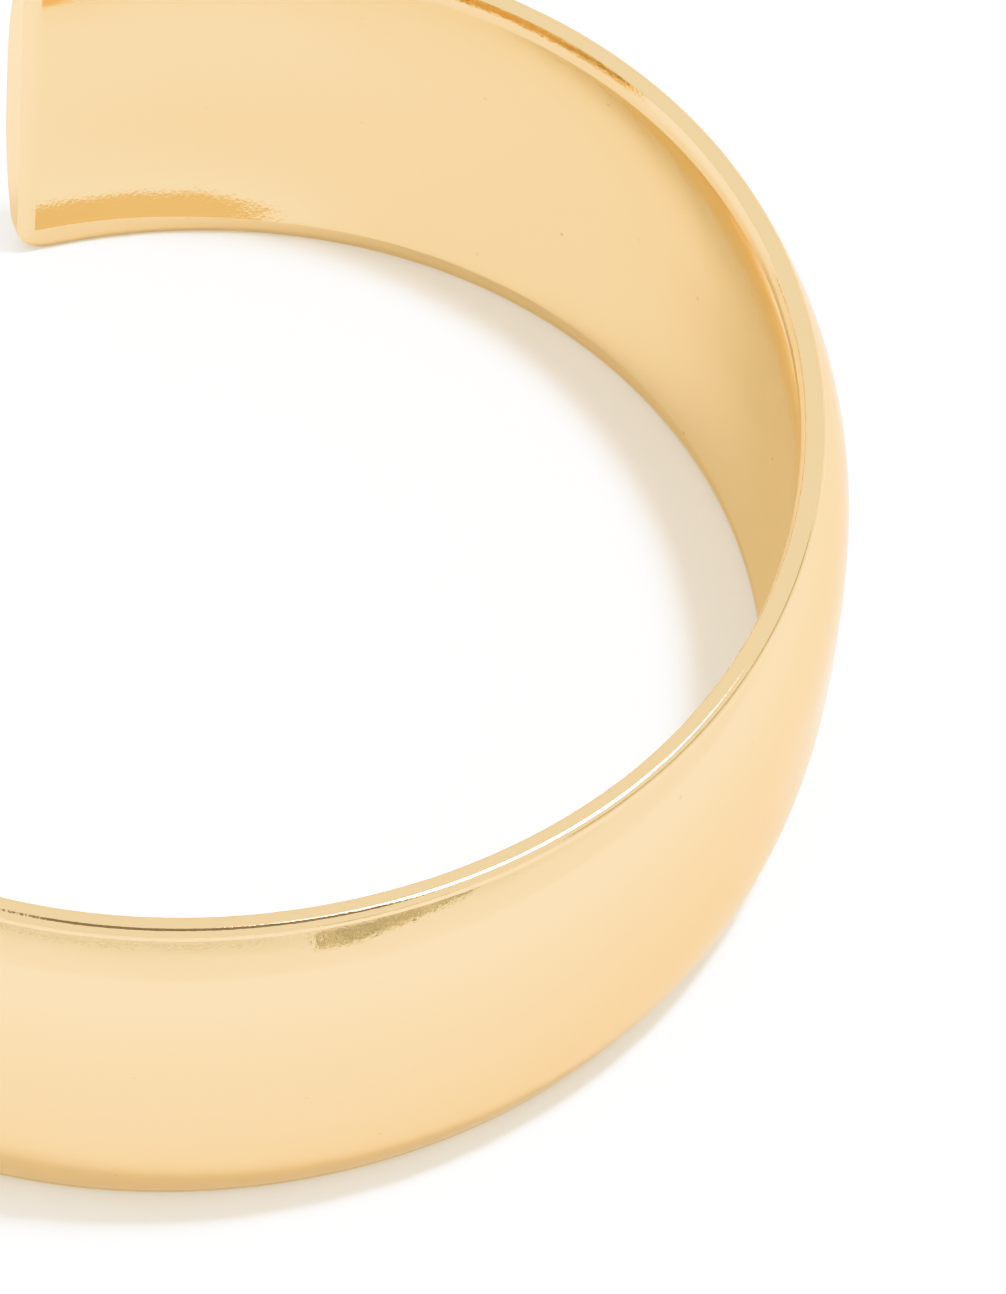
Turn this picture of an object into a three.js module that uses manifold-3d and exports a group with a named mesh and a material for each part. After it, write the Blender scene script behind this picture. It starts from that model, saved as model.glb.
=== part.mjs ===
import * as THREE from 'three';
import Module from 'manifold-3d';

const wasm = await Module();
wasm.setup();

// Cuff bracelet in one piece, lying on one rim with its open gap towards -Y.
// Millimetres, +Z up. The origin is on the surface, under the middle of the cuff.

// Driving dimensions of the plan
const innerAcross = 59.6; // clear width between the lips, side to side
const innerDeep = 56.6; // clear depth between the lips, gap side to back
const diagonalDraw = 0.28; // how far the oval is drawn in at its four diagonals
const gapWidth = 29.5; // clear opening between the two terminals

// Driving dimensions of the band's section
const bandHeight = 21.8;
const rimFace = 0.94; // flat rim across the metal, bevel and rounding included
const domeRise = 2.07; // how far the outside swells beyond the rims
const domeFullness = 3.15; // 2 is a parabola, more is fuller towards the rims
const wall = 1.5; // metal at mid height
const hollowFullness = 3.2; // steeper than the dome at the lips
const rimRound = 0.35; // rounding of the rims' outer edges

// Driving dimensions of the lip and the terminals
const lipHeight = 1.2;
const lipBevel = 0.17; // width of the bevel on the rim's inner edge
const lipBevelHeight = 0.6;
const terminalLip = 0.9; // solid border across each terminal
const terminalRound = 0.8; // rounding of each terminal's outer edge
const cornerRadius = 1.9; // corners of the terminals, seen from outside

// Fineness of the mesh
const runSteps = 96;
const domeSteps = 14;
const hollowSteps = 12;
const roundSteps = 2;
const cornerSteps = 5;

const brightGold = new THREE.MeshStandardMaterial({ color: 0xe9c587, roughness: 0.12, metalness: 1 });

// Radius of the lips' oval at an angle from the middle of the gap
function planRadius(angle) {
  const ovalness = (innerAcross - innerDeep) / 4;
  const mean = (innerAcross + innerDeep) / 4 - diagonalDraw / 2;
  return mean - ovalness * Math.cos(2 * angle) + (diagonalDraw / 2) * Math.cos(4 * angle);
}

function planRadiusSlope(angle) {
  const ovalness = (innerAcross - innerDeep) / 4;
  return 2 * ovalness * Math.sin(2 * angle) - 2 * diagonalDraw * Math.sin(4 * angle);
}

// Point on the plan at an angle from the gap, moved outwards square to the oval
function planPoint(angle, offset) {
  const radius = planRadius(angle);
  const slope = planRadiusSlope(angle);
  const sine = Math.sin(angle);
  const cosine = Math.cos(angle);
  const outward = new THREE.Vector2(radius * sine - slope * cosine, -radius * cosine - slope * sine);
  outward.setLength(offset);
  return new THREE.Vector2(radius * sine, -radius * cosine).add(outward);
}

// Angle at which the terminals leave the clear gap between them
function gapAngle() {
  let angle = 0;
  for (let pass = 0; pass < 8; pass += 1) {
    angle = Math.asin(gapWidth / 2 / planRadius(angle));
  }
  return angle;
}

const firstAngle = gapAngle();
const lastAngle = 2 * Math.PI - firstAngle;

// Angle at a short distance from the nearer terminal, measured along the band
function angleFromTerminal(distance) {
  return firstAngle + distance / planRadius(firstAngle);
}

// Bulge from 0 at both ends of a span to 1 in its middle
function swell(share, fullness) {
  return 1 - Math.pow(Math.abs(2 * share - 1), fullness);
}

function domeOffset(z) {
  return rimFace + domeRise * swell(z / bandHeight, domeFullness);
}

// How much a round corner takes off at a distance from its tangent plane
function roundLoss(distance, radius) {
  const reach = Math.max(radius - distance, 0);
  return radius - Math.sqrt(radius * radius - reach * reach);
}

// Outline of the band without its hollow, as offset from the lips and height, at a distance from the terminal
function bandOutline(distance) {
  const low = roundLoss(distance, cornerRadius);
  const high = bandHeight - low;
  const endLoss = roundLoss(distance, terminalRound);
  const bevel = Math.max(lipBevel * (1 - distance / lipBevelHeight), 0);
  const outline = [];
  for (let step = 0; step < roundSteps; step += 1) {
    const turn = (step / roundSteps) * (Math.PI / 2);
    const offset = domeOffset(low + rimRound) - rimRound * (1 - Math.sin(turn)) - endLoss;
    outline.push(new THREE.Vector2(offset, low + rimRound * (1 - Math.cos(turn))));
  }
  for (let step = 0; step <= domeSteps; step += 1) {
    const eased = (1 - Math.cos((step / domeSteps) * Math.PI)) / 2;
    const z = low + rimRound + (high - low - 2 * rimRound) * eased;
    outline.push(new THREE.Vector2(domeOffset(z) - endLoss, z));
  }
  for (let step = roundSteps - 1; step >= 0; step -= 1) {
    const below = outline[step];
    outline.push(new THREE.Vector2(below.x, high + low - below.y));
  }
  outline.push(new THREE.Vector2(lipBevel, high));
  outline.push(new THREE.Vector2(bevel, high - lipBevelHeight));
  outline.push(new THREE.Vector2(bevel, low + lipBevelHeight));
  outline.push(new THREE.Vector2(lipBevel, low));
  return outline;
}

// Outline of the hollow behind the dome, from inside the wrist opening to the back of the wall
function hollowOutline() {
  const depth = rimFace + domeRise - wall;
  const outline = [new THREE.Vector2(-lipHeight, lipHeight)];
  for (let step = 0; step <= hollowSteps; step += 1) {
    const eased = (1 - Math.cos((step / hollowSteps) * Math.PI)) / 2;
    const z = lipHeight + (bandHeight - 2 * lipHeight) * eased;
    outline.push(new THREE.Vector2(depth * swell(eased, hollowFullness), z));
  }
  outline.push(new THREE.Vector2(-lipHeight, bandHeight - lipHeight));
  return outline;
}

// Closed mesh through outlines set square to the plan, one for each angle
function loft(angles, outlines) {
  const count = outlines[0].length;
  const positions = [];
  const faces = [];
  angles.forEach((angle, station) => {
    for (const corner of outlines[station]) {
      const place = planPoint(angle, corner.x);
      positions.push(place.x, place.y, corner.y);
    }
  });
  for (let station = 0; station + 1 < angles.length; station += 1) {
    for (let corner = 0; corner < count; corner += 1) {
      const here = station * count + corner;
      const beside = station * count + ((corner + 1) % count);
      faces.push(here, here + count, beside + count, here, beside + count, beside);
    }
  }
  const end = (angles.length - 1) * count;
  for (const [a, b, c] of THREE.ShapeUtils.triangulateShape(outlines[0], [])) {
    faces.push(a, b, c);
  }
  for (const [a, b, c] of THREE.ShapeUtils.triangulateShape(outlines[angles.length - 1], [])) {
    faces.push(end + c, end + b, end + a);
  }
  const geometry = new THREE.BufferGeometry();
  geometry.setAttribute('position', new THREE.Float32BufferAttribute(positions, 3));
  geometry.setIndex(faces);
  return geometry;
}

// Distances from a terminal at which its round corner is cut into steps
function cornerDistances() {
  const distances = [];
  for (let step = 0; step <= cornerSteps; step += 1) {
    distances.push(cornerRadius * (1 - Math.cos((step / cornerSteps) * (Math.PI / 2))));
  }
  return distances;
}

function bandGeometry() {
  const near = cornerDistances();
  const nearAngles = near.map(angleFromTerminal);
  const angles = [...nearAngles];
  const outlines = near.map(bandOutline);
  const start = nearAngles[cornerSteps];
  const plain = outlines[cornerSteps];
  for (let step = 1; step < runSteps; step += 1) {
    angles.push(start + (2 * Math.PI - 2 * start) * (step / runSteps));
    outlines.push(plain);
  }
  for (let step = cornerSteps; step >= 0; step -= 1) {
    angles.push(2 * Math.PI - nearAngles[step]);
    outlines.push(outlines[step]);
  }
  return loft(angles, outlines);
}

function hollowGeometry() {
  const start = angleFromTerminal(terminalLip);
  const outline = hollowOutline();
  const angles = [];
  const outlines = [];
  for (let step = 0; step <= runSteps; step += 1) {
    angles.push(start + (2 * Math.PI - 2 * start) * (step / runSteps));
    outlines.push(outline);
  }
  return loft(angles, outlines);
}

function toSolid(geometry) {
  const mesh = new wasm.Mesh({
    numProp: 3,
    vertProperties: new Float32Array(geometry.getAttribute('position').array),
    triVerts: new Uint32Array(geometry.getIndex().array),
  });
  return new wasm.Manifold(mesh);
}

function toGeometry(solid) {
  const { vertProperties, triVerts } = solid.getMesh();
  const geometry = new THREE.BufferGeometry();
  geometry.setAttribute('position', new THREE.BufferAttribute(vertProperties, 3));
  geometry.setIndex(new THREE.BufferAttribute(triVerts, 1));
  geometry.computeVertexNormals();
  return geometry;
}

// The band less its hollow, centred over the origin
function cuffBand() {
  const geometry = toGeometry(toSolid(bandGeometry()).subtract(toSolid(hollowGeometry())));
  geometry.computeBoundingBox();
  const middle = geometry.boundingBox.getCenter(new THREE.Vector3());
  const band = new THREE.Mesh(geometry, brightGold);
  band.name = 'cuff_band';
  band.position.set(-middle.x, -middle.y, 0);
  return band;
}

const cuff = new THREE.Group();
cuff.add(cuffBand());

export default cuff;
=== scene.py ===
from math import asin, ceil, cos, pi, radians, sin, sqrt, tan

import bpy
from mathutils import Matrix, Vector


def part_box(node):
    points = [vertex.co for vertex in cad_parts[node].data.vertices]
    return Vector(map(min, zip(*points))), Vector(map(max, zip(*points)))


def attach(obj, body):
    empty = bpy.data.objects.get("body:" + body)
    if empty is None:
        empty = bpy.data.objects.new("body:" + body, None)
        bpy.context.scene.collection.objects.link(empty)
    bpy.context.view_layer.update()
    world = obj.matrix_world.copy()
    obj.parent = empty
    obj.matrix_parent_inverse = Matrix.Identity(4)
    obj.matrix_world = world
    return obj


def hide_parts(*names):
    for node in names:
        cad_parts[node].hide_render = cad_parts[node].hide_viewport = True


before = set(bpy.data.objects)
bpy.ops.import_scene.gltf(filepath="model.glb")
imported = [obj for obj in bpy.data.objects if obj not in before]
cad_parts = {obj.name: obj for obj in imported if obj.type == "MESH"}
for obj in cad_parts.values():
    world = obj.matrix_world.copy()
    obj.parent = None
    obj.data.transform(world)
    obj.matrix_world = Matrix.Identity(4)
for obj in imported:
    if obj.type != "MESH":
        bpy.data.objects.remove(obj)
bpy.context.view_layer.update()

MM = 0.001

# Sizes of the cuff in metres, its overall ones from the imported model
band_low, band_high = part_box("cuff_band")
BAND_HEIGHT = band_high.z
RIM_FACE = 0.94 * MM
DOME_RISE = 2.07 * MM
DOME_FULLNESS = 3.15
WALL = 1.5 * MM
HOLLOW_DEPTH = RIM_FACE + DOME_RISE - WALL
BACK_DEPTH = 1.2 * MM
INNER_ACROSS = band_high.x - band_low.x - 2 * (RIM_FACE + DOME_RISE)
INNER_DEEP = 56.6 * MM
DIAGONAL_DRAW = 0.28 * MM
GAP_WIDTH = 29.5 * MM
RING_MIDDLE_Y = band_high.y - INNER_DEEP / 2 - RIM_FACE - DOME_RISE

# The lip that frames the hollow, and the finish of its edges
LIP_HEIGHT = 1.2 * MM
LIP_RISE = 0.5 * MM
LIP_RISE_LENGTH = 14 * MM
LIP_BEVEL = 0.17 * MM
LIP_BEVEL_HEIGHT = 0.6 * MM
TERMINAL_LIP = 0.9 * MM
TERMINAL_STEP = 0.02 * MM
CORNER_RADIUS = 1.9 * MM
TERMINAL_ROUND = 0.8 * MM
RIM_ROUND = 0.45 * MM
RIM_INNER_ROUND = 0.12 * MM
BEVEL_ROUND = 0.25 * MM
LIP_ROUND = 0.07 * MM

# A point counts as inside when this share of the wall or more lies between it and the dome
INSIDE_SHARE = 0.55

# The straight shoulder of the hollow along the lips. Towards the back of the cuff it grows
# flatter and the hollow shallower, between these two distances from a terminal.
SHOULDER = 0.7 * MM
ENDS_SLOPE = tan(radians(28.6))
BACK_SLOPE = tan(radians(15.5))
BACK_BEGINS = 8 * MM
BACK_REACHED = 20.7 * MM

# Fineness of the visible mesh
RUN_SPACING = 0.36 * MM
CORNER_STEPS = 26
DOME_STEPS = 40
HOLLOW_STEPS = 36
ROUND_STEPS = 5
NEARLY_STRAIGHT = radians(89)
STRAIGHT_REACH = 0.05 * MM
PLAN_POINTS = 2880
CREASE = radians(35)

# The camera, aimed beside the middle of the ring
CAMERA_TARGET = Vector((-12.413 * MM, RING_MIDDLE_Y + 10.136 * MM, 0))
CAMERA_DISTANCE = 419.1 * MM
CAMERA_AZIMUTH = radians(124.79)
CAMERA_ELEVATION = radians(53.30)
CAMERA_ROLL = radians(6.166)
CAMERA_FOCAL_PX = 8393.7
PHOTO_HEIGHT_PX = 1294

# How bright a light level is shown: straight in the middle tones, soft towards white
TONE_WHITE = 1.5
TONE_POINTS = [(0.35, 0.35), (0.7, 0.7), (0.9, 0.865), (1.1, 0.945), (1.3, 0.985)]

# How often the polish's ripples, hair scratches, specks and clouds repeat in a metre
BROAD_RIPPLE = 420.0
FINE_RIPPLE = 5000.0
SCRATCHES_ALONG = 260.0
SCRATCHES_ACROSS = 26000.0
SPECK_CELLS = 125.0
CLOUDS = 60.0

# How strong they are: the fine ripple beside the broad one, the specks' radii as shares
# of their cells, their depth, the hairs' dullness, and the height of the whole relief
FINE_SHARE = 0.32
SPECK_CORE = 0.006
SPECK_EDGE = 0.016
SPECK_DEPTH = 0.1
HAIR_DULLNESS = 0.5
RELIEF = 0.02 * MM

# Tones of the plate: on specks, at a grazing look, and the glow of a painted reflection where it has
# mirrored itself too often
SPECK_TONE = (0.46, 0.30, 0.13, 1)
GRAZING_TONE = (1.0, 0.88, 0.68, 1)
PAINTED_REFLECTION_GLOW = (0.68, 0.72, 0.62, 1)
MOST_MIRRORINGS = 2.5

# The white tent, and the paper of the floor and the cards
TENT_BRIGHTNESS = 1.08
PAPER_ROUGHNESS = 0.9
PAPER_SHEEN = 0.1
WORN_CLOUDS = 260.0
WORN_FROM = 0.5
WORN_TO = 0.6
WORN_TONE = (0.85, 0.8, 0.66, 1)


# Plan of the band

def plan_radius(angle):
    ovalness = (INNER_ACROSS - INNER_DEEP) / 4
    mean = (INNER_ACROSS + INNER_DEEP) / 4 - DIAGONAL_DRAW / 2
    return mean - ovalness * cos(2 * angle) + DIAGONAL_DRAW / 2 * cos(4 * angle)


def gap_angle():
    """Angle at which the terminals leave the clear gap between them."""
    angle = 0
    for _ in range(8):
        angle = asin(GAP_WIDTH / 2 / plan_radius(angle))
    return angle


def plan_length(start, end, steps=2000):
    """Length of the lips' oval between two angles from the middle of the gap."""
    points = []
    for step in range(steps + 1):
        angle = start + (end - start) * step / steps
        radius = plan_radius(angle)
        points.append(Vector((radius * sin(angle), -radius * cos(angle))))
    return sum((b - a).length for a, b in zip(points, points[1:]))


# Section of the band

def swell(share, fullness):
    return 1 - abs(2 * share - 1) ** fullness


def dome_offset(z):
    return RIM_FACE + DOME_RISE * swell(z / BAND_HEIGHT, DOME_FULLNESS)


def blend(distance, start, end):
    """From 0 to 1 between two distances, without a kink at either."""
    share = min(max((distance - start) / (end - start), 0), 1)
    return share * share * (3 - 2 * share)


def lip_height(distance):
    """Height of the lip, a little more towards the terminals."""
    return LIP_HEIGHT + LIP_RISE * (1 - blend(distance, 0, LIP_RISE_LENGTH))


def hollow_offset(from_lip, half_span, distance):
    """Depth of the hollow above the nearer lip: a straight shoulder, then a curve to the middle."""
    share = blend(distance, BACK_BEGINS, BACK_REACHED)
    slope = ENDS_SLOPE + (BACK_SLOPE - ENDS_SLOPE) * share
    depth = HOLLOW_DEPTH + (BACK_DEPTH - HOLLOW_DEPTH) * share
    if from_lip < SHOULDER:
        return slope * from_lip
    rest = depth - slope * SHOULDER
    reach = half_span - SHOULDER
    return depth - rest * (1 - (from_lip - SHOULDER) / reach) ** (slope * reach / rest)


def round_loss(distance, radius):
    reach = max(radius - distance, 0)
    return radius - sqrt(radius * radius - reach * reach)


def fillet(before, corner, after, radius):
    """Points of the arc that rounds off a corner. A nearly straight corner keeps its line."""
    one = (before - corner).normalized()
    two = (after - corner).normalized()
    half = one.angle(two) / 2
    shares = [step / ROUND_STEPS for step in range(ROUND_STEPS + 1)]
    if half > NEARLY_STRAIGHT:
        return [corner + one * (STRAIGHT_REACH * (1 - 2 * share)) for share in shares]
    reach = radius / tan(half)
    start = corner + one * reach
    end = corner + two * reach
    centre = corner + (one + two).normalized() * (radius / sin(half))
    points = []
    for share in shares:
        chord = start.lerp(end, share) - centre
        points.append(centre + chord.normalized() * radius)
    return points


def eased(step, steps):
    return (1 - cos(step / steps * pi)) / 2


def rim_profile(low, end_loss, bevel, lip_drop, floor_start):
    """The upper rim from dome to hollow, as offset from the lips and depth below the rim."""
    outer = dome_offset(low + RIM_ROUND) - end_loss
    control = [
        (Vector((outer, -3 * RIM_ROUND)), 0),
        (Vector((outer, 0)), RIM_ROUND),
        (Vector((LIP_BEVEL, 0)), RIM_INNER_ROUND),
        (Vector((bevel, -LIP_BEVEL_HEIGHT)), BEVEL_ROUND),
        (Vector((bevel, -lip_drop)), LIP_ROUND),
        (floor_start, 0),
    ]
    profile = []
    for index in range(1, 5):
        before, here, after = control[index - 1][0], control[index][0], control[index + 1][0]
        profile += fillet(before, here, after, control[index][1])
    return profile


def band_section(distance):
    """Closed outline of the band at a distance from the nearer terminal."""
    low = round_loss(distance, CORNER_RADIUS)
    high = BAND_HEIGHT - low
    end_loss = round_loss(distance, TERMINAL_ROUND)
    bevel = LIP_BEVEL * max(1 - distance / LIP_BEVEL_HEIGHT, 0)
    hollowed = 1 if distance > TERMINAL_LIP else 0
    floor_low = max(lip_height(distance), low + LIP_BEVEL_HEIGHT + BEVEL_ROUND)
    half_span = BAND_HEIGHT / 2 - floor_low
    floor = []
    for step in range(1, HOLLOW_STEPS):
        height = 2 * half_span * eased(step, HOLLOW_STEPS)
        depth = hollowed * hollow_offset(min(height, 2 * half_span - height), half_span, distance)
        floor.append(Vector((bevel + depth, floor_low + height)))
    floor_start = Vector((floor[0].x, low - floor[0].y))
    rim = rim_profile(low, end_loss, bevel, floor_low - low, floor_start)
    section = [Vector((p.x, low - p.y)) for p in reversed(rim)]
    for step in range(1, DOME_STEPS):
        z = low + RIM_ROUND + (high - low - 2 * RIM_ROUND) * eased(step, DOME_STEPS)
        section.append(Vector((dome_offset(z) - end_loss, z)))
    section += [Vector((p.x, high + p.y)) for p in rim]
    section += list(reversed(floor))
    return section


def terminal_distances():
    """Distances of the cuts near a terminal: close together round its corner and at the hollow's end."""
    corner = [CORNER_RADIUS * (1 - cos(step / CORNER_STEPS * pi / 2)) for step in range(CORNER_STEPS + 1)]
    clear = [d for d in corner if abs(d - TERMINAL_LIP) > 2 * TERMINAL_STEP]
    return sorted(clear + [TERMINAL_LIP, TERMINAL_LIP + TERMINAL_STEP])


def straight_band(half_length):
    """The band before it is bent: X along it from the middle of its back, Y outwards, Z up."""
    ends = terminal_distances()
    plain = 2 * half_length - 2 * ends[-1]
    steps = ceil(plain / RUN_SPACING)
    distances = ends + [ends[-1] + plain * step / steps for step in range(1, steps)]
    distances += [2 * half_length - d for d in reversed(ends)]
    sections = {}
    verts = []
    for run in distances:
        near = round(min(run, 2 * half_length - run, BACK_REACHED), 9)
        if near not in sections:
            sections[near] = band_section(near)
        verts += [(run - half_length, p.x, p.y) for p in sections[near]]
    count = len(sections[round(ends[-1], 9)])
    faces = []
    for cut in range(len(distances) - 1):
        for corner in range(count):
            here = cut * count + corner
            beside = cut * count + (corner + 1) % count
            faces.append((here, beside, beside + count, here + count))
    faces.append(tuple(reversed(range(count))))
    faces.append(tuple((len(distances) - 1) * count + corner for corner in range(count)))
    mesh = bpy.data.meshes.new("straight_band")
    mesh.from_pydata(verts, [], faces)
    mesh.validate()
    return mesh


def mark_band(mesh):
    """Marks the points of the hollow, and lays a map of lengths and heights over the band."""
    inside = mesh.attributes.new("inside", "FLOAT", "POINT")
    marks = []
    for vertex in mesh.vertices:
        offset, z = vertex.co.y, vertex.co.z
        inner_face = dome_offset(z) - WALL * INSIDE_SHARE
        in_hollow = LIP_HEIGHT < z < BAND_HEIGHT - LIP_HEIGHT and offset < inner_face
        marks.append(1.0 if in_hollow else 0.0)
    inside.data.foreach_set("value", marks)
    band_map = mesh.uv_layers.new(name="band_map")
    coordinates = []
    for loop in mesh.loops:
        place = mesh.vertices[loop.vertex_index].co
        coordinates += [place.x, place.z]
    band_map.data.foreach_set("uv", coordinates)
    mesh.shade_smooth()


# Geometry Nodes that bend the straight band round the wrist

class Tree:
    """Adds nodes to a tree and links them in one call each."""

    def __init__(self, tree):
        self.tree = tree

    def put(self, target, value):
        if isinstance(value, bpy.types.NodeSocket):
            self.tree.links.new(value, target)
        else:
            target.default_value = value

    def node(self, kind, inputs=None, **settings):
        node = self.tree.nodes.new(kind)
        for name, value in settings.items():
            setattr(node, name, value)
        for key, value in (inputs or {}).items():
            self.put(node.inputs[key], value)
        return node

    def math(self, operation, *values):
        kind = "ShaderNodeMath"
        return self.node(kind, dict(enumerate(values)), operation=operation).outputs[0]

    def noise(self, place, scale, detail, roughness=0.5):
        inputs = {"Vector": place, "Scale": scale, "Detail": detail, "Roughness": roughness}
        return self.node("ShaderNodeTexNoise", inputs).outputs[0]

    def vector_math(self, operation, inputs):
        return self.node("ShaderNodeVectorMath", inputs, operation=operation).outputs[0]

    def vector(self, x, y, z):
        return self.node("ShaderNodeCombineXYZ", {"X": x, "Y": y, "Z": z}).outputs[0]


def make_bending_tree(outside, inside):
    tree = bpy.data.node_groups.new("bend_band_round_wrist", "GeometryNodeTree")
    sockets = tree.interface
    sockets.new_socket("Geometry", in_out="INPUT", socket_type="NodeSocketGeometry")
    for name in ("Inner across", "Inner deep", "Diagonal draw", "Ring middle Y"):
        sockets.new_socket(name, in_out="INPUT", socket_type="NodeSocketFloat")
    sockets.new_socket("Plan points", in_out="INPUT", socket_type="NodeSocketInt")
    sockets.new_socket("Geometry", in_out="OUTPUT", socket_type="NodeSocketGeometry")
    t = Tree(tree)
    given = t.node("NodeGroupInput").outputs

    # The oval, as a closed curve that starts in the middle of the gap
    ring = {"Resolution": given["Plan points"], "Radius": 1.0}
    circle = t.node("GeometryNodeCurvePrimitiveCircle", ring).outputs[0]
    index = t.node("GeometryNodeInputIndex").outputs[0]
    turn = t.math("DIVIDE", index, given["Plan points"])
    angle = t.math("MULTIPLY", turn, 2 * pi)
    ovalness = t.math("DIVIDE", t.math("SUBTRACT", given["Inner across"], given["Inner deep"]), 4.0)
    half_draw = t.math("DIVIDE", given["Diagonal draw"], 2.0)
    quarter_sum = t.math("DIVIDE", t.math("ADD", given["Inner across"], given["Inner deep"]), 4.0)
    mean = t.math("SUBTRACT", quarter_sum, half_draw)
    second = t.math("MULTIPLY", ovalness, t.math("COSINE", t.math("MULTIPLY", angle, 2.0)))
    fourth = t.math("MULTIPLY", half_draw, t.math("COSINE", t.math("MULTIPLY", angle, 4.0)))
    radius = t.math("ADD", t.math("SUBTRACT", mean, second), fourth)
    across = t.math("MULTIPLY", radius, t.math("SINE", angle))
    ahead = t.math("MULTIPLY", radius, t.math("MULTIPLY", t.math("COSINE", angle), -1.0))
    place = t.vector(across, t.math("ADD", ahead, given["Ring middle Y"]), 0.0)
    oval = t.node("GeometryNodeSetPosition", {"Geometry": circle, "Position": place}).outputs[0]

    # Each point of the band goes to its own place on the oval, moved outwards and up
    length = t.node("GeometryNodeCurveLength", {"Curve": oval}).outputs[0]
    position = t.node("GeometryNodeInputPosition").outputs[0]
    parts = t.node("ShaderNodeSeparateXYZ", {"Vector": position}).outputs
    along = t.math("ADD", t.math("DIVIDE", length, 2.0), parts["X"])
    sample = t.node("GeometryNodeSampleCurve", {"Curves": oval, "Length": along}, mode="LENGTH")
    tangent = sample.outputs["Tangent"]
    outward = t.vector_math("CROSS_PRODUCT", {0: tangent, 1: (0.0, 0.0, 1.0)})
    moved = t.vector_math("SCALE", {0: outward, "Scale": parts["Y"]})
    on_plan = t.vector_math("ADD", {0: sample.outputs["Position"], 1: moved})
    lifted = t.vector(0.0, 0.0, parts["Z"])
    final = t.vector_math("ADD", {0: on_plan, 1: lifted})
    bent = t.node("GeometryNodeSetPosition", {"Geometry": given["Geometry"], "Position": final}).outputs[0]

    real = t.node("GeometryNodeRealizeInstances", {"Geometry": bent}).outputs[0]
    bright = t.node("GeometryNodeSetMaterial", {"Geometry": real, "Material": outside}).outputs[0]
    inner = t.node("GeometryNodeInputNamedAttribute", {"Name": "inside"}, data_type="FLOAT").outputs[0]
    chosen = t.math("GREATER_THAN", inner, 0.5)
    hollow = {"Geometry": bright, "Selection": chosen, "Material": inside}
    dressed = t.node("GeometryNodeSetMaterial", hollow).outputs[0]
    t.node("NodeGroupOutput", {"Geometry": dressed})
    return tree


def make_cuff(outside, inside):
    mesh = straight_band(plan_length(gap_angle(), pi))
    mark_band(mesh)
    strip = bpy.data.objects.new("straight_band", mesh)
    bpy.context.scene.collection.objects.link(strip)
    modifier = strip.modifiers.new("bend", "NODES")
    modifier.node_group = make_bending_tree(outside, inside)
    sizes = {
        "Inner across": INNER_ACROSS,
        "Inner deep": INNER_DEEP,
        "Diagonal draw": DIAGONAL_DRAW,
        "Ring middle Y": RING_MIDDLE_Y,
        "Plan points": PLAN_POINTS,
    }
    for item in modifier.node_group.interface.items_tree:
        if item.in_out == "INPUT" and item.name in sizes:
            modifier[item.identifier] = sizes[item.name]
    graph = bpy.context.evaluated_depsgraph_get()
    bent = bpy.data.meshes.new_from_object(strip.evaluated_get(graph), depsgraph=graph)
    bent.name = "cuff"
    # The bend mirrors the band, so its faces are turned the right way out again
    bent.flip_normals()
    bent.set_sharp_from_angle(angle=CREASE)
    cuff = bpy.data.objects.new("cuff", bent)
    bpy.context.scene.collection.objects.link(cuff)
    bpy.data.objects.remove(strip)
    return cuff


# Finishes

def make_polish_group():
    """Fine unevenness of hand-polished metal: soft ripple, hair scratches and a few specks."""
    group = bpy.data.node_groups.new("hand_polish", "ShaderNodeTree")
    sockets = group.interface
    for name in ("Ripple", "Scratches", "Specks"):
        sockets.new_socket(name, in_out="INPUT", socket_type="NodeSocketFloat")
    for name in ("Height", "Dull", "Specks"):
        sockets.new_socket(name, in_out="OUTPUT", socket_type="NodeSocketFloat")
    t = Tree(group)
    given = t.node("NodeGroupInput").outputs
    place = t.node("ShaderNodeTexCoord").outputs["Object"]
    band_map = t.node("ShaderNodeUVMap", uv_map="band_map").outputs[0]
    broad = t.noise(place, BROAD_RIPPLE, 1.0)
    fine = t.noise(place, FINE_RIPPLE, 2.0)
    drawn_out = {"Vector": band_map, "Scale": (SCRATCHES_ALONG, SCRATCHES_ACROSS, 1.0)}
    drawn = t.node("ShaderNodeMapping", drawn_out).outputs[0]
    hair = t.noise(drawn, 1.0, 3.0, 0.7)
    scatter = {"Vector": band_map, "Scale": SPECK_CELLS, "Randomness": 1.0}
    cells = t.node("ShaderNodeTexVoronoi", scatter, voronoi_dimensions="2D").outputs
    near = {"Value": cells["Distance"], "From Min": SPECK_CORE, "From Max": SPECK_EDGE}
    round_speck = t.node("ShaderNodeMapRange", {**near, "To Min": 1.0, "To Max": 0.0}).outputs[0]
    strength = t.node("ShaderNodeSeparateXYZ", {"Vector": cells["Color"]}).outputs["X"]
    speck = t.math("MULTIPLY", t.math("MULTIPLY", round_speck, strength), given["Specks"])
    uneven = t.math("ADD", broad, t.math("MULTIPLY", fine, FINE_SHARE))
    ripple = t.math("MULTIPLY", uneven, given["Ripple"])
    scratched = t.math("MULTIPLY", hair, given["Scratches"])
    pitted = t.math("MULTIPLY", speck, SPECK_DEPTH)
    height = t.math("SUBTRACT", t.math("ADD", ripple, scratched), pitted)
    dull = t.math("ADD", t.math("MULTIPLY", hair, HAIR_DULLNESS), speck)
    t.node("NodeGroupOutput", {"Height": height, "Dull": dull, "Specks": speck})
    return group


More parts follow.
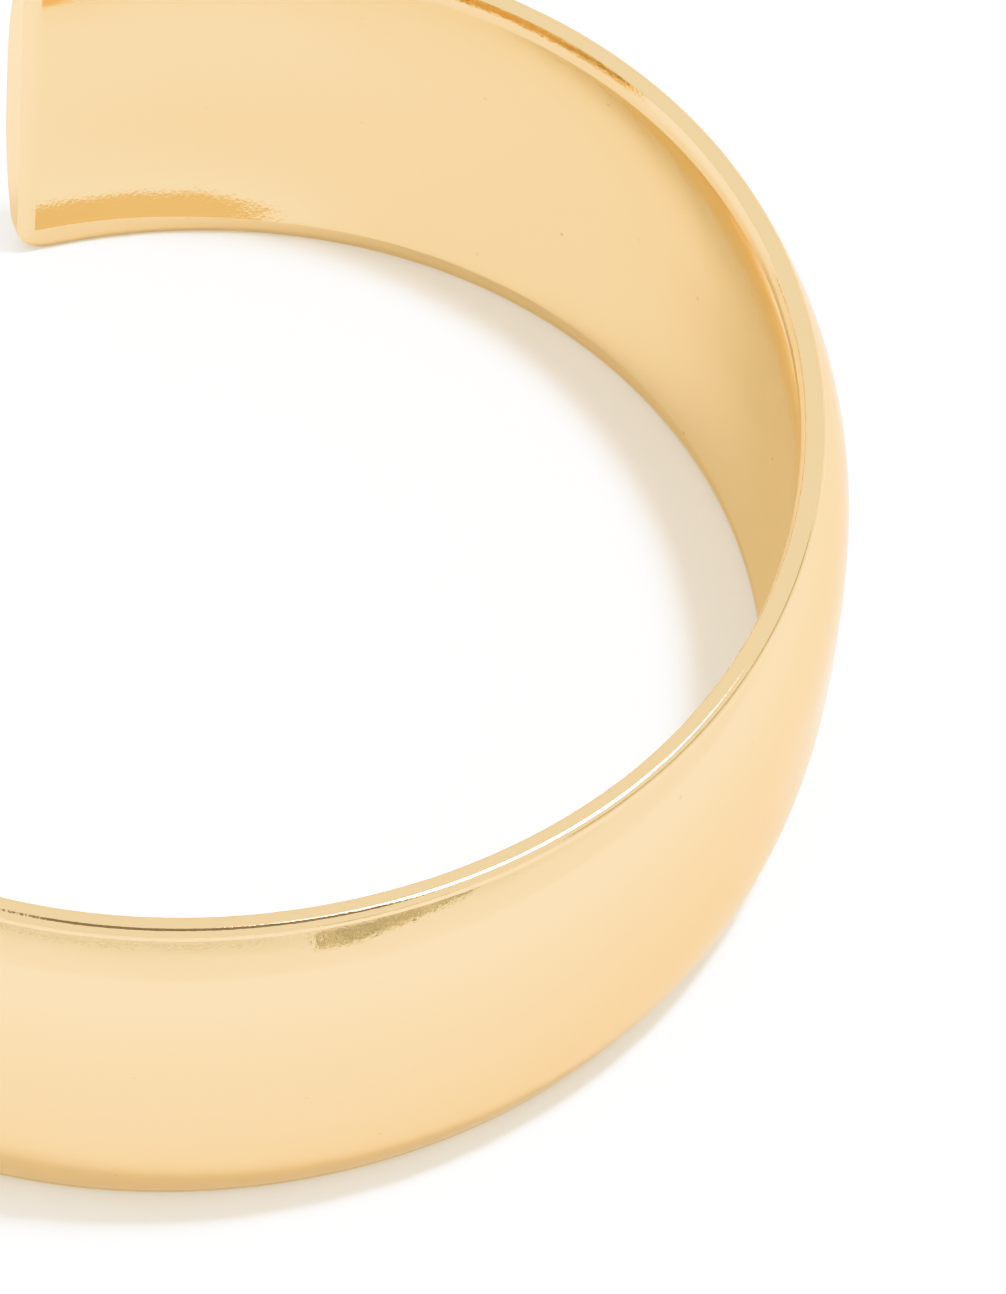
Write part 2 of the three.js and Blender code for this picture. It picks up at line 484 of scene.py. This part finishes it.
def make_gold(name, polish, colour, pale, smooth, rough, ripple, scratches, specks):
    """Pale gold plate over polished metal, clouded between two close tones.

    Where it has mirrored itself too often it turns black and glows in one tone instead, a painted
    reflection that stands in for the light of the further mirrorings, so that no fold of the lip turns
    black. The plate isn't sampled as a lamp for that glow.
    """
    material = bpy.data.materials.new(name)
    material.use_nodes = True
    material.node_tree.nodes.clear()
    t = Tree(material.node_tree)
    worked = t.node("ShaderNodeGroup", node_tree=polish)
    for key, value in (("Ripple", ripple), ("Scratches", scratches), ("Specks", specks)):
        worked.inputs[key].default_value = value
    place = t.node("ShaderNodeTexCoord").outputs["Object"]
    cloud = t.noise(place, CLOUDS, 3.0)
    tint = t.node("ShaderNodeMix", {0: cloud}, data_type="RGBA")
    tint.inputs[6].default_value = colour
    tint.inputs[7].default_value = pale
    specked = t.node("ShaderNodeMix", {0: worked.outputs["Specks"], 6: tint.outputs[2]}, data_type="RGBA")
    specked.inputs[7].default_value = SPECK_TONE
    # Painted reflection: past this many mirrorings the plate turns black and glows in one tone
    mirrorings = t.node("ShaderNodeLightPath").outputs["Ray Depth"]
    deep = t.math("GREATER_THAN", mirrorings, MOST_MIRRORINGS)
    plate = t.node("ShaderNodeMix", {0: deep, 6: specked.outputs[2]}, data_type="RGBA")
    plate.inputs[7].default_value = (0, 0, 0, 1)
    roughness = {"Value": worked.outputs["Dull"], "To Min": smooth, "To Max": rough}
    gloss = t.node("ShaderNodeMapRange", roughness).outputs[0]
    relief = {"Height": worked.outputs["Height"], "Strength": 1.0, "Distance": RELIEF}
    bumped = t.node("ShaderNodeBump", relief).outputs[0]
    surface = {"Base Color": plate.outputs[2], "Roughness": gloss, "Normal": bumped}
    shader = t.node("ShaderNodeBsdfPrincipled", {**surface, "Metallic": 1.0, "Emission Strength": deep})
    shader.inputs["Specular Tint"].default_value = GRAZING_TONE
    shader.inputs["Emission Color"].default_value = PAINTED_REFLECTION_GLOW
    material.cycles.emission_sampling = "NONE"
    t.node("ShaderNodeOutputMaterial", {"Surface": shader.outputs[0]})
    return material


def make_paper(name, shade):
    material = bpy.data.materials.new(name)
    material.use_nodes = True
    shader = material.node_tree.nodes["Principled BSDF"]
    shader.inputs["Base Color"].default_value = (*shade, 1)
    shader.inputs["Roughness"].default_value = PAPER_ROUGHNESS
    shader.inputs["Specular IOR Level"].default_value = PAPER_SHEEN
    return material


def make_worn_paper(name, shade):
    """Dark paper, worn pale in small clouds."""
    material = make_paper(name, shade)
    t = Tree(material.node_tree)
    place = t.node("ShaderNodeTexCoord").outputs["Object"]
    cloud = t.noise(place, WORN_CLOUDS, 5.0, 0.7)
    wear = {"Value": cloud, "From Min": WORN_FROM, "From Max": WORN_TO}
    worn = t.node("ShaderNodeMapRange", wear).outputs[0]
    colour = t.node("ShaderNodeMix", {0: worn}, data_type="RGBA")
    colour.inputs[6].default_value = (*shade, 1)
    colour.inputs[7].default_value = WORN_TONE
    shader = material.node_tree.nodes["Principled BSDF"]
    t.put(shader.inputs["Base Color"], colour.outputs[2])
    return material


# The studio

def make_floor():
    size = 1.5
    mesh = bpy.data.meshes.new("floor")
    corners = [(-size, -size, 0), (size, -size, 0), (size, size, 0), (-size, size, 0)]
    mesh.from_pydata(corners, [], [(0, 1, 2, 3)])
    mesh.materials.append(make_paper("white_paper", (1, 1, 1)))
    floor = bpy.data.objects.new("floor", mesh)
    bpy.context.scene.collection.objects.link(floor)


def view_axes():
    """Right and away on the floor, as the camera sees them."""
    right = Vector((cos(CAMERA_AZIMUTH), sin(CAMERA_AZIMUTH), 0))
    away = Vector((-sin(CAMERA_AZIMUTH), cos(CAMERA_AZIMUTH), 0))
    return right, away


def make_camera():
    right, away = view_axes()
    back = Vector((0, 0, sin(CAMERA_ELEVATION))) - away * cos(CAMERA_ELEVATION)
    up = back.cross(right)
    rolled_right = right * cos(CAMERA_ROLL) + up * sin(CAMERA_ROLL)
    rolled_up = back.cross(rolled_right)
    data = bpy.data.cameras.new("camera")
    data.sensor_width = 36
    data.lens = CAMERA_FOCAL_PX * data.sensor_width / PHOTO_HEIGHT_PX
    data.clip_start = 0.01
    camera = bpy.data.objects.new("camera", data)
    bpy.context.scene.collection.objects.link(camera)
    turn = Matrix((rolled_right, rolled_up, back)).transposed().to_4x4()
    camera.matrix_world = Matrix.Translation(CAMERA_TARGET + back * CAMERA_DISTANCE) @ turn
    bpy.context.scene.camera = camera


def make_softbox(name, right_of, away_of, height, size, watts):
    """A square soft light that faces the cuff. It stands right and away as the camera sees them."""
    right, away = view_axes()
    light = bpy.data.lights.new(name, "AREA")
    light.shape = "SQUARE"
    light.size = size
    light.energy = watts
    lamp = bpy.data.objects.new(name, light)
    bpy.context.scene.collection.objects.link(lamp)
    place = right * right_of + away * away_of + Vector((0, 0, height))
    lamp.location = place
    lamp.rotation_mode = "QUATERNION"
    lamp.rotation_quaternion = (-place).to_track_quat("-Z", "Y")
    return lamp


def make_card(name, places, shade):
    """A card that only the metal mirrors."""
    mesh = bpy.data.meshes.new(name)
    mesh.from_pydata(places, [], [tuple(range(len(places)))])
    mesh.materials.append(make_worn_paper(name + "_paper", shade))
    card = bpy.data.objects.new(name, mesh)
    bpy.context.scene.collection.objects.link(card)
    card.visible_camera = False
    card.visible_diffuse = False
    card.visible_shadow = False


def make_standing_card(name, distance, corners, shade):
    """A card round the cuff. Each corner is a bearing and an elevation seen from the rim."""
    right, away = view_axes()
    places = []
    for bearing, elevation in corners:
        level = right * cos(radians(bearing)) + away * sin(radians(bearing))
        height = BAND_HEIGHT + distance * tan(radians(elevation))
        places.append(level * distance + Vector((0, RING_MIDDLE_Y, height)))
    make_card(name, places, shade)


def make_hanging_card(name, height, corners, shade):
    """A level card over the cuff. Each corner lies right and away as the camera sees them."""
    right, away = view_axes()
    middle = Vector((0, RING_MIDDLE_Y, height))
    places = [middle + right * right_of + away * away_of for right_of, away_of in corners]
    make_card(name, places, shade)


def make_world():
    world = bpy.data.worlds.new("white_tent")
    world.use_nodes = True
    background = world.node_tree.nodes["Background"]
    background.inputs["Color"].default_value = (1, 1, 1, 1)
    background.inputs["Strength"].default_value = TENT_BRIGHTNESS
    bpy.context.scene.world = world


def make_tone_curve():
    """Standard colours, with highlights that roll off softly to white and keep their hue."""
    view = bpy.context.scene.view_settings
    view.view_transform = "Standard"
    view.use_curve_mapping = True
    mapping = view.curve_mapping
    mapping.tone = "FILMLIKE"
    mapping.white_level = (TONE_WHITE, TONE_WHITE, TONE_WHITE)
    tone = mapping.curves[3]
    for light, shown in TONE_POINTS:
        tone.points.new(light / TONE_WHITE, shown)
    mapping.update()


polish = make_polish_group()
bright_gold = make_gold(
    "bright_gold", polish, colour=(0.83, 0.623, 0.338, 1), pale=(0.85, 0.643, 0.352, 1),
    smooth=0.03, rough=0.10, ripple=0.8, scratches=0.02, specks=0.4,
)
# The hollow's gold: a rougher polish, and a paler tone than the outside's, which is painted light that
# brightens the hollow's reflections
soft_gold_painted_paler = make_gold(
    "soft_gold_painted_paler", polish, colour=(0.89, 0.685, 0.38, 1), pale=(0.91, 0.705, 0.395, 1),
    smooth=0.06, rough=0.18, ripple=1.4, scratches=0.03, specks=0.7,
)
cuff = make_cuff(bright_gold, soft_gold_painted_paler)
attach(cuff, "root")
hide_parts("cuff_band")

make_camera()
make_floor()
make_world()
floor_light = make_softbox("floor_light", right_of=0.41, away_of=0.07, height=2.0, size=0.25, watts=0.255)
floor_light.data.spread = radians(15)
floor_light.visible_glossy = False
metal_light = make_softbox("metal_light", right_of=0.25, away_of=0.135, height=0.76, size=0.32, watts=2.67)
metal_light.visible_diffuse = False
make_hanging_card(
    "overhead", height=0.6, shade=(0.12, 0.09, 0.06),
    corners=[(-0.065, 0.13), (0.08, 0.11), (0.3, -0.2), (-0.085, -0.17)],
)
make_standing_card(
    "right_side", distance=0.5, shade=(0.6, 0.54, 0.38),
    corners=[(335, 12), (30, 8), (30, 20), (335, 26)],
)
make_standing_card(
    "low_front", distance=0.17, shade=(0.42, 0.4, 0.29),
    corners=[(296, -9), (317, -2.6), (317, -0.9), (296, -0.4)],
)
make_standing_card(
    "far_edge", distance=1.3, shade=(0.22, 0.19, 0.13),
    corners=[(238, -0.7), (292, -0.7), (292, -0.35), (238, -0.35)],
)
make_tone_curve()
